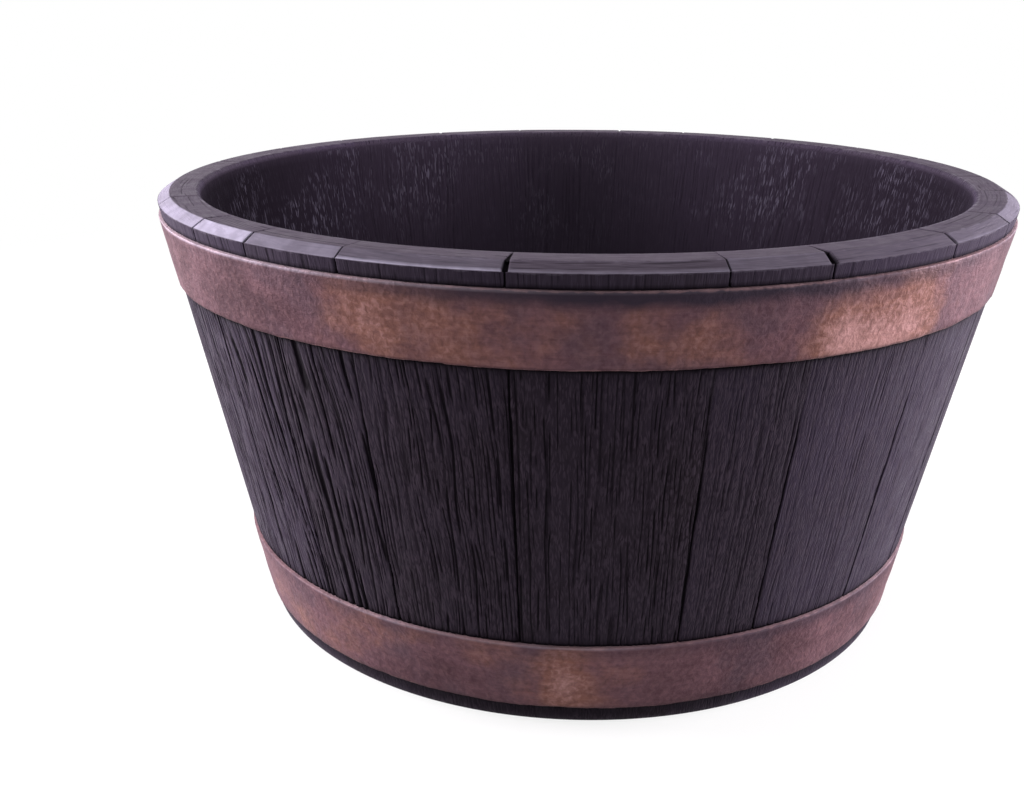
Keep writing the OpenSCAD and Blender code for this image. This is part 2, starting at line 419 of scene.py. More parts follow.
def turn(name, rows, columns, closed=True):
    # Spins a profile, given anticlockwise as (radius, height, worked, values of the row).
    # Rows that aren't worked use every fourth column. Rows at no radius become one point.
    stride, angles = staves["stride"], columns["angle"]
    total, count = len(angles), 0
    starts, steps, places, pushes, faces = [], [], [], [], []
    byRow = {key: [] for key in sorted(set().union(*[row[3].keys() for row in rows]))}
    byColumn = {key: [] for key in columns}
    for row, normal in zip(rows, rowNormals(rows)):
        step = 1 if row[2] else stride
        around = angles[::step]
        cos, sin, ones = np.cos(around), np.sin(around), np.ones(len(around))
        for kept, radius, z in ((places, row[0], row[1]), (pushes, normal[0], normal[1])):
            kept.append(np.stack([radius * cos, radius * sin, z * ones], axis=1))
        for key in byRow:
            byRow[key].append(float(row[3].get(key, 0.0)) * ones)
        for key in columns:
            byColumn[key].append(columns[key][::step])
        starts.append(count)
        steps.append(step)
        count += len(around)
    for index in range(len(rows) if closed else len(rows) - 1):
        after = (index + 1) % len(rows)
        low, high, stepLow, stepHigh = starts[index], starts[after], steps[index], steps[after]
        step = max(stepLow, stepHigh)
        if stepLow == stepHigh:
            one = np.arange(total // step)
            two = (one + 1) % (total // step)
            faces.extend(np.stack([low + one, low + two, high + two, high + one], axis=1).tolist())
            continue
        for start in range(0, total, step):
            lowSide = [low + (at % total) // stepLow for at in range(start, start + step + 1, stepLow)]
            highSide = [high + (at % total) // stepHigh for at in range(start, start + step + 1, stepHigh)]
            faces.append(lowSide + highSide[::-1])
    mesh = bpy.data.meshes.new(name)
    mesh.from_pydata((np.concatenate(places) * mm).tolist(), [], faces)
    for key, found in {**byColumn, **byRow}.items():
        giveValues(mesh, key, np.concatenate(found))
    giveValues(mesh, "push", np.concatenate(pushes), "FLOAT_VECTOR")
    if not closed:
        mergeDoubles(mesh)
    mesh.update()
    return link(bpy.data.objects.new(name, mesh))


def mergeDoubles(mesh):
    work = bmesh.new()
    work.from_mesh(mesh)
    bmesh.ops.remove_doubles(work, verts=work.verts, dist=1e-6)
    work.to_mesh(mesh)
    work.free()


def addBand(work, one, other):
    # faces between two rings of as many points
    for at in range(len(one)):
        after = (at + 1) % len(one)
        work.faces.new((one[at], one[after], other[after], other[at]))


def newPiece(name, work):
    mesh = bpy.data.meshes.new(name)
    work.to_mesh(mesh)
    work.free()
    return link(bpy.data.objects.new(name, mesh))


def applied(piece, **options):
    # keeps what a piece's modifiers make of it as its plain mesh
    ready = bpy.context.evaluated_depsgraph_get()
    mesh = bpy.data.meshes.new_from_object(piece.evaluated_get(ready), depsgraph=ready, **options)
    piece.modifiers.clear()
    piece.data = mesh
    return mesh


def runTree(piece, tree, inputs):
    # runs a Geometry Nodes tree on a piece and keeps the result as a plain mesh
    modifier = piece.modifiers.new("shape", "NODES")
    modifier.node_group = tree
    names = {item.name: item.identifier for item in tree.interface.items_tree
             if item.item_type == "SOCKET" and item.in_out == "INPUT"}
    for key, value in inputs.items():
        modifier[names[key]] = value
    applied(piece, preserve_all_data_layers=True)


def addInput(tree, name, kind, value=None):
    made = tree.interface.new_socket(name, in_out="INPUT", socket_type="NodeSocket" + kind)
    if value is not None:
        made.default_value = value


def givenWires(tree):
    return {one.name: Wire(one) for one in put(tree, "NodeGroupInput").outputs if one.name}


def startTree(name, sizes):
    # a Geometry Nodes tree that takes a shape, named sizes and a material
    tree = bpy.data.node_groups.new(name, "GeometryNodeTree")
    addInput(tree, "Geometry", "Geometry")
    for key, value in sizes.items():
        addInput(tree, key, "Int" if isinstance(value, int) else "Float", value)
    addInput(tree, "Material", "Material")
    tree.interface.new_socket("Geometry", in_out="OUTPUT", socket_type="NodeSocketGeometry")
    return tree, givenWires(tree)


def endTree(given, shape):
    real = out(put(shape.tree, "GeometryNodeRealizeInstances", {"Geometry": shape}))
    dressed = put(shape.tree, "GeometryNodeSetMaterial", {"Geometry": real, "Material": given["Material"]})
    put(shape.tree, "NodeGroupOutput", {0: out(dressed)})
    return shape.tree


def named(tree, name, kind="FLOAT"):
    return out(put(tree, "GeometryNodeInputNamedAttribute", {"Name": name}, data_type=kind), "Attribute")


def keep(shape, name, value, kind="FLOAT"):
    return out(put(shape.tree, "GeometryNodeStoreNamedAttribute",
                   {"Geometry": shape, "Name": name, "Value": value}, data_type=kind, domain="POINT"))


def pressIn(shape, depth):
    # sinks the surface by a depth in mm and shades it smooth
    push = named(shape.tree, "push", "FLOAT_VECTOR")
    offset = out(put(shape.tree, "ShaderNodeVectorMath", {0: push, "Scale": depth * -mm},
                     operation="SCALE"))
    moved = out(put(shape.tree, "GeometryNodeSetPosition", {"Geometry": shape, "Offset": offset}))
    return out(put(shape.tree, "GeometryNodeSetShadeSmooth", {"Geometry": moved}))


# Grooves that the mould presses into the plastic. Geometry and finishes both use this, so that
# colour and relief agree.
grooves = {
    "stretch": 3.4,          # how slowly they wander, in spacings and lengths
    "sway": 2.6,             # how far, in spacings
    "weakest": 0.25,
    "breaks": (0.37, 0.56),
    "grooveNarrow": 0.42,
    "fibreNarrow": 0.3,
    "fibreShift": 5.0,       # sets the fibres apart from the grooves
    # steps through the noise from one line, stave or joint to the next, so that none is alike
    "lineStep": 7.3,
    "staveStep": 37.7,
    "jointStep": 17.3,
}


def grooveLines(across, along, apart, spacing, length, narrow):
    # lines about one spacing apart that wander, each with its own strength and its own breaks
    wide, long = spacing * grooves["stretch"], length * grooves["stretch"]
    slow = noise(vector(across / wide, along / long, apart))
    phase = across / spacing + (slow - 0.5) * grooves["sway"]
    line = calc("FLOOR", phase)
    inside = calc("PINGPONG", phase, 0.5) * 2.0
    strength = chance(line + calc("FLOOR", apart + 0.5)) * (1 - grooves["weakest"]) + grooves["weakest"]
    broken = noise(vector(line * grooves["lineStep"], along / length, apart + 3.0))
    return ramp(inside, narrow, 1.0) * strength * ramp(broken, *grooves["breaks"])


# Grain of the staves; the rim and the liner have their own below. All lengths in mm.
grainSizes = {
    "Groove Spacing": 4.6,
    "Groove Length": 34.0,
    "Groove Depth": 1.05,
    "Fibre Spacing": 2.0,
    "Fibre Length": 19.0,
    "Fibre Depth": 0.42,
    "Slant": 0.085,          # sideways over along, on the coarsest stave
    "Wander": 7.0,
    "Wander Width": 34.0,
    "Wander Length": 75.0,
    "Joint Wobble": 1.6,
    "Wobble Length": 11.0,
    "Opening Length": 34.0,
    "Seed": 3.0,
}


def grainTree():
    tree, given = startTree("mouldedGrain", grainSizes)
    across, along, coarse, strong, carve = [named(tree, key) for key in
                                            ("grainX", "grainY", "coarse", "deep", "carve")]
    number = named(tree, "stave") + given["Seed"]
    apart = number * grooves["staveStep"]

    # each stave's grain leans and wanders by its own amount
    lean = coarse * given["Slant"] * (chance(number) * 0.8 + 0.4)
    slow = noise(vector(across / given["Wander Width"], along / given["Wander Length"], apart))
    wander = (slow - 0.5) * given["Wander"] * (coarse * 1.3 + 0.08)
    bent = across + (lean * along + wander)
    groove = grooveLines(bent, along, apart, given["Groove Spacing"], given["Groove Length"],
                         grooves["grooveNarrow"])
    fibre = grooveLines(bent, along, apart + grooves["fibreShift"], given["Fibre Spacing"],
                        given["Fibre Length"], grooves["fibreNarrow"])
    shallow = fibre * ramp(strong, 0.1, 0.6, 0.6, 1.0)
    sunk = (groove * strong * given["Groove Depth"] + shallow * given["Fibre Depth"]) * carve

    # joints between staves wobble, and open and close along their length
    joint = named(tree, "joint") * grooves["jointStep"]
    wobble = noise(vector(joint, along / given["Wobble Length"], 4.0), detail=2.0)
    width = noise(vector(joint, along / given["Opening Length"], 9.0))
    shift = (wobble - 0.5) * given["Joint Wobble"] * calc("SIGN", across)
    gap = calc("ABSOLUTE", named(tree, "gap") + shift)
    half = named(tree, "jointHalf") * ramp(width, 0.3, 0.7, 0.75, 1.3)
    seam = 1.0 - ramp(gap / half, 0.25, 1.0)
    opened = named(tree, "jointDeep") * ramp(width, 0.3, 0.54, 0.55, 1.0)
    opened = opened * most(named(tree, "open"), named(tree, "gaping"))

    shape = pressIn(given["Geometry"], most(sunk, seam * opened))
    shape = keep(shape, "seam", seam * ramp(opened, 0.0, 0.9))
    shape = keep(shape, "strong", strong * carve)
    shape = keep(shape, "grain", vector(bent, along, apart), "FLOAT_VECTOR")
    return endTree(given, shape)


# Patterns that several finishes share

def startGroup(name, inputs):
    tree = bpy.data.node_groups.new(name, "ShaderNodeTree")
    for key, value in inputs.items():
        addInput(tree, key, "Vector" if value is None else "Float", value)
    return givenWires(tree)


def endGroup(**results):
    tree = treeOf(results.values())
    for key in results:
        tree.interface.new_socket(key, in_out="OUTPUT", socket_type="NodeSocketFloat")
    put(tree, "NodeGroupOutput", results)
    return tree


def grooveGroup():
    given = startGroup("grooveLines", {"Grain": None, "Shift": 0.0, "Spacing": 5.0, "Length": 30.0,
                                       "Narrow": 0.4})
    x, y, z = parts(given["Grain"])
    return endGroup(Groove=grooveLines(x, y, z + given["Shift"], given["Spacing"], given["Length"],
                                       given["Narrow"]))


def fibreGroup():
    # thin fibres along a grain, as a mask and as a height for bump
    given = startGroup("fibreLines", {"Grain": None, "Spacing": 1.2, "Length": 14.0, "Warp": 0.6})
    x, y, z = parts(given["Grain"])
    x, y = x / given["Spacing"], y / given["Length"]
    bend = noise(vector(x * 0.3, y * 0.7, z))
    place = vector(x + (bend - 0.5) * given["Warp"], y, z / given["Length"])
    # noise folded at its middle: 1 along thin wandering lines, falling away on both sides
    folded = calc("ABSOLUTE", noise(place, 1.7, 0.0) - 0.5)
    thin = calc("SUBTRACT", 1.0, folded * 5.0, clamp=True)
    level = noise(place, 1.0, 3.0, 0.6) - thin * 0.3
    return endGroup(Lines=ramp(level, 0.2, 0.62), Height=level)


def mottleGroup():
    # soft uneven patches, from 0 to 1
    given = startGroup("mottle", {"Place": None, "Size": 20.0, "Contrast": 0.5})
    found = noise(given["Place"], 1000.0 / given["Size"], 4.0, 0.55, 0.3)
    spread = given["Contrast"] * 0.28
    return endGroup(Patches=ramp(found, 0.5 - spread, spread + 0.5))


def wearGroup():
    # rubbed places along an edge, from the distance to the edge in mm
    given = startGroup("edgeWear", {"Place": None, "Distance": 5.0, "Reach": 1.5, "Patchy": 0.5})
    rub = noise(given["Place"], 160.0, 3.0, 0.6) * 0.6 + noise(given["Place"], 22.0, 2.0) * 0.4
    reach = given["Reach"] * ramp(rub, 0.38, 0.62, 0.25, 1.6)
    near = 1.0 - ramp(given["Distance"] / reach, 0.2, 1.0)
    share = (1.0 - ramp(rub, 0.4, 0.62)) * given["Patchy"]
    return endGroup(Wear=calc("SUBTRACT", near, share, clamp=True))


groups = {group.name: group for group in (grooveGroup(), fibreGroup(), mottleGroup(), wearGroup())}


def use(tree, name, **inputs):
    return put(tree, "ShaderNodeGroup", inputs, node_tree=groups[name])


def fibres(grain, spacing, length, warp):
    made = use(grain.tree, "fibreLines", Grain=grain, Spacing=spacing, Length=length, Warp=warp)
    return out(made, "Lines"), out(made, "Height")


def mottled(place, size, contrast):
    return out(use(place.tree, "mottle", Place=place, Size=size, Contrast=contrast))


def rubbedEdge(place, reach):
    return out(use(place.tree, "edgeWear", Place=place, Distance=attribute(place.tree, "edgeGap"),
                   Reach=reach))


def attribute(tree, name, output="Fac"):
    return out(put(tree, "ShaderNodeAttribute", attribute_name=name), output)


def startMaterial(name, look):
    material = bpy.data.materials.new(name)
    tree = emptyTree(material)
    shader = put(tree, "ShaderNodeBsdfPrincipled",
                 {"Roughness": look["rough"], "Metallic": look["metal"],
                  "Specular IOR Level": look["specular"], "Specular Tint": look["tint"]})
    put(tree, "ShaderNodeOutputMaterial", {"Surface": out(shader)})
    return material, tree, shader


def roughness(look, level, low=0.0, high=1.0):
    # of a look, changed by its spread as the level goes from low to high
    return ramp(level, low, high, *[look["rough"] + more for more in look["roughSpread"]])


def dress(shader, look, base, rough, relief):
    strength, distance = look["bump"]
    bump = put(base.tree, "ShaderNodeBump", {"Height": relief, "Strength": strength, "Distance": distance})
    for key, wire in (("Base Color", base), ("Roughness", rough), ("Normal", out(bump))):
        base.tree.links.new(wire.end, shader.inputs[key])


# In the looks, fibres have a spacing and length in mm and a bend, patches a size in mm and a
# contrast, bump a strength and a depth in metres; reach is how wide edges are worn, in mm.
# A share is how strongly a colour covers those under it, and relief is added to the bump.

# Dark moulded plastic of the staves, the rim and the liner
plasticLook = {
    "tint": (0.85, 0.66, 0.92, 1),
    "pale": (0.42, 0.385, 0.50, 1),
    # the liner's darker colour, painted shade of the tub's hollow
    "inside": (0.0280, 0.0205, 0.0330, 1),
    "cloud": (62.0, 0.9),
    "fleck": (9.0, 0.8),
    "dashes": (1.7, 12.0, 1.0),
    "glintLevels": (150.0, 205.0),    # height in mm over which the liner's painted glints grow
    "glintShares": (0.05, 0.75),      # how strong its dashes are, outside the clouds and in them
    "linerShadeShares": (0.93, 0.74),      # how strong the liner's darker colour, painted shade of the hollow, is between flecks and in them
    "grooveShare": 0.95,
    "ridgeShare": 0.8,
    "brinkShare": 0.8,
    "roughSpread": (-0.06, 0.08),     # added to the roughness between flecks and in them
    "roughDark": 0.35,                # and in grooves, in soot and painted shade, and on the liner
    "roughWorn": -0.13,               # and where it is rubbed
    "grooveRelief": 0.9,
    "metal": 0.0,
}
plasticLooks = {
    "stavePlastic": {
        "hollow": (0.0016, 0.0011, 0.0018, 1), "face": (0.0125, 0.0083, 0.0118, 1),
        "ridge": (0.0500, 0.0365, 0.0520, 1), "cool": (0.0370, 0.0265, 0.0480, 1),
        "flat": (0.06, 0.047, 0.068, 1), "worn": (0.075, 0.060, 0.082, 1),
        "glint": (0.06, 0.055, 0.08, 1), "fibres": (1.5, 9.0, 1.6), "bump": (0.6, 0.0006),
        "reach": 1.2, "rough": 0.52, "specular": 0.09,
    },
    "rimPlastic": {
        "hollow": (0.0022, 0.0015, 0.0025, 1), "face": (0.0380, 0.0290, 0.0420, 1),
        "ridge": (0.0600, 0.0465, 0.0690, 1), "cool": (0.0380, 0.0270, 0.0510, 1),
        "flat": (0.078, 0.063, 0.083, 1), "worn": (0.100, 0.083, 0.112, 1),
        "glint": (0.085, 0.074, 0.104, 1), "fibres": (1.2, 18.0, 1.6), "bump": (0.35, 0.0006),
        "reach": 0.9, "rough": 0.6, "specular": 0.05,
    },
}


def grainedPlastic(name, sizes):
    look = {**plasticLook, **plasticLooks[name]}
    material, tree, shader = startMaterial(name, look)
    grain, place = attribute(tree, "grain", "Vector"), objectPlace(tree)
    strong, seam, inside, soot = [attribute(tree, key) for key in ("strong", "seam", "inside", "soot")]
    fineLines, fineHeight = fibres(grain, *look["fibres"])
    groove = out(use(tree, "grooveLines", Grain=grain, Spacing=sizes["Groove Spacing"],
                     Length=sizes["Groove Length"], Narrow=grooves["grooveNarrow"]))
    fibre = out(use(tree, "grooveLines", Grain=grain, Shift=grooves["fibreShift"],
                    Spacing=sizes["Fibre Spacing"], Length=sizes["Fibre Length"],
                    Narrow=grooves["fibreNarrow"]))
    cloud, fleck = mottled(place, *look["cloud"]), mottled(place, *look["fleck"])

    # high fibres are lighter, grooves and joints nearly black
    high = ramp(fineLines, 0.1, 0.9) * ramp(fleck, 0.0, 1.0, 0.55, 1.0)
    # stave tone, with painted sheen on the staves at the sides of the front
    violetAndSheen = attribute(tree, "violetAndSheen") * 0.7 + cloud * 0.3
    turned = attribute(tree, "turned") * ramp(high, 0.0, 1.0, 0.55, 0.95)
    lines = most(groove * (strong * 1.5), fibre * ramp(strong, 0.05, 0.5, 0.35, 0.85))
    dark = most(ramp(lines, 0.03, 0.6, 0.0, look["grooveShare"]), ramp(seam, 0.1, 0.7))
    # edges are worn, and the rim's bevel is pale stave by stave: rubbed wear, and painted highlights on the
    # bevel and along its lower edge
    rub = calc("MULTIPLY", rubbedEdge(place, look["reach"]), 0.85 - dark, clamp=True)
    brink = attribute(tree, "brink") * attribute(tree, "edgeWearAndHighlight")
    pale = most(attribute(tree, "bevel") * attribute(tree, "rubbedAndLit"), brink * look["brinkShare"])
    pale = pale * ramp(fleck, 0.0, 1.0, 0.65, 1.0) * (1.0 - ramp(seam, 0.1, 0.6))
    # the liner is painted darker inside as shade of the hollow, with more painted shade at its sides and
    # short painted glints near its mouth
    shaded = inside * ramp(fleck, 0.0, 1.0, *look["linerShadeShares"])
    dashes = ramp(fibres(grain, *look["dashes"])[1], 0.42, 0.58)
    glint = dashes * ramp(cloud, 0.3, 0.95, *look["glintShares"])
    glint = glint * (ramp(attribute(tree, "path"), *look["glintLevels"]) * inside)
    # on the staves and rim this darkening is painted shade beside the hoops, at the foot and on the rim's
    # side
    base = layers(look["face"], [
        (violetAndSheen, look["cool"]), (high * look["ridgeShare"], look["ridge"]), (turned, look["flat"]),
        (dark, look["hollow"]), (rub, look["worn"]), (pale, look["pale"]), (soot, look["hollow"]),
        (shaded, look["inside"]), (inside * attribute(tree, "paintedSideShade"), look["hollow"]),
        (glint, look["glint"])])

    rough = roughness(look, fleck) + most(dark, most(soot, inside)) * look["roughDark"]
    rough = rough + most(rub, pale) * look["roughWorn"]
    dress(shader, look, base, rough, fineHeight - lines * look["grooveRelief"])
    return material


# Copper-coloured paint on the hoops: mauve, with orange where it is brightest, tarnished in patches, with
# painted highlights and painted shade in places
copperLook = {
    "tarnish": (0.050, 0.023, 0.030, 1),
    "mauve": (0.160, 0.080, 0.097, 1),
    "orange": (0.250, 0.112, 0.086, 1),
    "bright": (0.620, 0.350, 0.345, 1),
    "soot": (0.036, 0.026, 0.040, 1),
    "haze": (0.080, 0.050, 0.068, 1),
    # painted highlight along a hoop's upper lip
    "lip": (0.34, 0.285, 0.34, 1),
    "tint": (1.0, 0.8, 0.86, 1),
    "brushed": (1.0, 24.0, 0.8),
    "broad": (5.0, 70.0, 1.0),
    "patina": (52.0, 0.95),
    "stain": (16.0, 1.0),
    "grit": (3.0, 1.1),
    "smoke": (36.0, 0.9),
    "warmPatina": 0.75,      # how far patina and stains change the paint's warmth
    "warmStain": 0.45,
    "broadShare": 0.2,       # tarnish in broad streaks and in fine ones
    "brushedShare": 0.12,
    "lowerEdge": 0.75,       # tarnish and painted shade along the lower edge
    "wornShare": 0.22,
    "gritRelief": 2.2,
    "bump": (0.3, 0.0005),
    "reach": 1.1,
    "rough": 0.5,
    "roughSpread": (0.14, -0.06),        # added to the roughness where it is sooty and where bright
    "metal": 0.2,
    "specular": 0.1,
}


def agedCopper():
    look = copperLook
    material, tree, shader = startMaterial("agedCopper", look)
    grain, place = attribute(tree, "grain", "Vector"), objectPlace(tree)
    top, low, sooty, pale = [attribute(tree, key) for key in ("topGap", "lowGap", "soot", "lip")]
    brushedLines, brushedHeight = fibres(grain, *look["brushed"])
    broadLines = fibres(grain, *look["broad"])[0]
    patina, stain, grit = [mottled(place, *look[key]) for key in ("patina", "stain", "grit")]
    # smoke lies where the patina doesn't repeat
    moved = out(put(tree, "ShaderNodeVectorMath", {0: place, 1: (0.0, 0.0, 2.7)}, operation="ADD"))
    smoke = mottled(moved, *look["smoke"])

    # warmth goes from -1, sooty, to 1, bright; its strongest bright marks are painted highlights
    patches = (patina - 0.5) * look["warmPatina"] + (stain - 0.5) * look["warmStain"]
    warmthAndHighlight = attribute(tree, "warmthAndHighlight") + patches
    streak = (1.0 - broadLines) * look["broadShare"] + (1.0 - brushedLines) * look["brushedShare"]
    haze = ramp(smoke, 0.35, 1.0, 0.0, 0.6) * ramp(warmthAndHighlight, 0.9, 0.1)
    dots = ramp(grit, 0.35, 1.0) * ramp(warmthAndHighlight, 0.2, 1.3, 0.08, 0.42)
    # dark strip of soot under the upper edge, a painted highlight along the upper lip, and tarnish with
    # painted shade along the lower one
    strip = calc("MULTIPLY", ramp(top - stain * 3.5, 1.0, 9.0, 1.0, 0.0), sooty, clamp=True)
    lip = calc("MULTIPLY", ramp(top, 0.5, 2.2, 1.0, 0.0), pale, clamp=True)
    # the brightest warmth, mostly the painted highlights, turns to the bright colour
    base = layers(look["mauve"], [
        (ramp(warmthAndHighlight, 0.0, 0.8), look["orange"]), (ramp(warmthAndHighlight, 0.1, -0.9, 0.0, 0.8), look["tarnish"]),
        (streak, look["tarnish"]), (haze, look["haze"]), (ramp(warmthAndHighlight, 0.7, 1.8, 0.0, 0.5), look["bright"]),
        (dots, look["bright"]), (ramp(grit, 0.4, 0.0, 0.0, 0.35), look["tarnish"]),
        (strip, look["soot"]), (lip, look["lip"]),
        (ramp(low, 0.3, 2.0, look["lowerEdge"], 0.0), look["tarnish"]),
        (rubbedEdge(place, look["reach"]) * look["wornShare"], look["bright"])])
    rough = roughness(look, warmthAndHighlight, -0.8, 0.8) + strip * 0.15
    dress(shader, look, base, rough, brushedHeight + grit * look["gritRelief"])
    return material


# Soft black rubber of the drain plugs
rubberLook = {
    "dark": (0.010, 0.0095, 0.0108, 1),
    "dusty": (0.034, 0.031, 0.035, 1),
    "tint": (1, 1, 1, 1),
    "dust": (8.0, 0.9),
    "grit": (1.1, 1.0),
    "wornShare": 0.5,        # how dusty worn edges look
    "bump": (0.2, 0.0003),
    "reach": 0.8,
    "rough": 0.62,
    "roughSpread": (-0.08, 0.14),        # added to the roughness where it is dark and where dusty
    "metal": 0.0,
    "specular": 0.15,
}


def blackRubber():
    look = rubberLook
    material, tree, shader = startMaterial("blackRubber", look)
    place = objectPlace(tree)
    dust, grit = mottled(place, *look["dust"]), mottled(place, *look["grit"])
    worn = rubbedEdge(place, look["reach"])
    share = calc("ADD", dust * ramp(grit, 0.0, 1.0, 0.3, 0.8), worn * look["wornShare"], clamp=True)
    dress(shader, look, layers(look["dark"], [(share, look["dusty"])]), roughness(look, share), grit)
    return material


rimGrain = {"Groove Spacing": 5.4, "Groove Length": 40.0, "Groove Depth": 0.45, "Fibre Spacing": 2.5,
            "Fibre Length": 24.0, "Fibre Depth": 0.3, "Seed": 41.0}
finishes = {"stave": grainedPlastic("stavePlastic", grainSizes),
            "rim": grainedPlastic("rimPlastic", rimGrain), "copper": agedCopper(), "rubber": blackRubber()}
shapeGrain = grainTree()
print("grain tree and finishes")


def finish(piece, node, body, sharp=38.0):
    piece.data.set_sharp_from_angle(angle=math.radians(sharp))
    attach(piece, body)
    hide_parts(node)


# Staved wall

staveWall = {
    "rowSpacing": 4.6,
    "edgeRows": (1.0, 2.4),  # rows close to a hoop, in mm from it
    "jointHalf": 0.85,       # half the joint's width in mm
    "jointDeep": 1.6,
    "gapingTop": 192.0,      # joints begin to gape here
    "gapingReach": 62.0,     # and are fully open this much lower
    # painted shade beside a hoop, as amount and reach in mm: in the corner, then thinner further out
    "sootCorner": (0.9, 3.2),
    "sootAround": (0.3, 16.0),
    "foot": 9.5,
    "footRound": 1.0,
    "seatClear": 0.2,        # from the lower hoop to the end of its seat
}
clearOfEdges = 9.0           # distance in mm that counts as no edge near


def gaping(z):
    # joints gape towards the foot and close under the upper hoop
    share = min(1.0, max(0.0, (staveWall["gapingTop"] - z) / staveWall["gapingReach"]))
    return share * share * (3 - 2 * share)


def sootBeside(gap):
    # painted shade in the corner beside a hoop and, thinner, further out
    (thick, near), (thin, far) = staveWall["sootCorner"], staveWall["sootAround"]
    return thick * max(0.0, 1 - gap / near) ** 1.5 + thin * max(0.0, 1 - gap / far) ** 2


def wallRow(z, radius=None, **values):
    # a worked row of the staves' faces, with the grain running up it
    row = {"grainY": z, "carve": 1.0, "jointHalf": staveWall["jointHalf"],
           "jointDeep": staveWall["jointDeep"], "edgeGap": clearOfEdges, "gaping": 1.0, **values}
    return (radius if radius is not None else faceRadius(z), z, True, row)


def plainRow(radius, z, **values):
    return (radius, z, False, {"grainY": z, "jointHalf": 1.0, "edgeGap": clearOfEdges, **values})


def makeStaveWall():
    seatTop, seatLow = lowerHoop[1].z + staveWall["seatClear"], upperHoop[0].z
    wall, bead, middle, foot = barrel["shellWall"], barrel["bead"], barrel["beadMiddle"], staveWall["foot"]
    rows = [plainRow(barrel["upstandIn"], 0.0),
            plainRow(faceRadius(0) - staveWall["footRound"], 0.0, edgeGap=0.3),
            plainRow(faceRadius(0.3) - 0.25, 0.35, edgeGap=0.1),
            plainRow(faceRadius(1.0), 1.0, edgeGap=0.6),
            # the foot's rows carry painted shade under the lower hoop
            plainRow(faceRadius(foot * 0.5), foot * 0.5, edgeGap=3.0, soot=0.45),
            plainRow(faceRadius(foot - 0.2), foot - 0.2, edgeGap=3.0, soot=0.75),
            plainRow(seatRadius(foot), foot), plainRow(seatRadius(seatTop), seatTop)]
    heights = np.linspace(seatTop, seatLow, round((seatLow - seatTop) / staveWall["rowSpacing"]) + 1)
    beside = np.array(staveWall["edgeRows"])
    heights = np.concatenate([heights[:1], seatTop + beside, heights[1:-1], seatLow - beside[::-1],
                              heights[-1:]])
    rows += [wallRow(z, gaping=gaping(z), soot=sootBeside(min(z - seatTop, seatLow - z))) for z in heights]
    thicker = (spigotInside + wall - barrel["footRadius"]) / taper
    rows += [plainRow(radius, z) for radius, z in (
        (seatRadius(seatLow), seatLow), (seatRadius(shoulder), shoulder), (spigotOutside, shoulder),
        (spigotOutside, middle - bead), (spigotOutside + bead, middle), (spigotOutside, middle + bead),
        (spigotOutside, barrel["spigotTop"]), (spigotInside, barrel["spigotTop"]),
        (spigotInside, thicker), (faceRadius(barrel["flange"]) - wall, barrel["flange"]),
        (barrel["upstandOut"], barrel["flange"]), (barrel["upstandOut"], barrel["upstand"]),
        (barrel["upstandIn"], barrel["upstand"]))]
    columns = staveColumns()
    columns["grainX"] = columns["across"]
    piece = turn("staveWall", rows, columns)
    runTree(piece, shapeGrain, {"Material": finishes["stave"]})
    finish(piece, "outer_shell", "tub")


makeStaveWall()
print("staved wall")


# Liner with its rim

rim = {
    "sideRows": 4,
    "bevelRows": (0.06, 0.35, 0.65, 0.94),
    "topRows": 7,
    "mouthRows": (0.3, 0.62, 1.0),
    "linerStart": 4.0,       # from the top down to the inner wall's first row
    "linerRows": 22,
    "linerSpread": 1.25,     # above 1, rows lie closer near the mouth
    "filletRows": (0.34, 0.67),
    "heelBevel": 0.5,        # outside, round the floor's underside
    # joints between the stave ends: half their width and their depth, in mm
    "sideJoint": (0.5, 1.56),
    "bevelJoint": (0.6, 2.6),
    "topJoint": (0.55, 1.1),
    "mouthJoint": (0.22, 0.25),
    "linerJoint": (0.4, 0.0),
    # how much of a joint's broken edge reaches the side, the bevel's lower edge and the top
    "notches": (0.12, 1.0, 0.55),
    # how strongly the grain is cut
    "carve": 0.25,
    "bevelCarve": 0.12,
    "linerCarve": 0.8,
    "filletCarve": 0.1,
    "linerSmooth": 26.0,     # the liner's grain grows over this much under the mouth
    "linerShadeReach": 5.0,      # and its painted shade over this much
    "rimSideShade": (0.8, 0.05), # painted shade on the rim's side, behind the upper hoop and above it
    "sideShadeLeft": 0.88,        # painted shade on the inner wall, to the left and to the right
    "sideShadeRight": 0.66,
    "turnRadius": 232.0,     # grain that runs round the rim is measured on this circle
    # how far along its profile the rim's grain has come, in mm from the top of its side
    "bevelPath": (0.4, 7.6),
    "flatPath": 8.4,
    "mouthPath": 30.4,
}


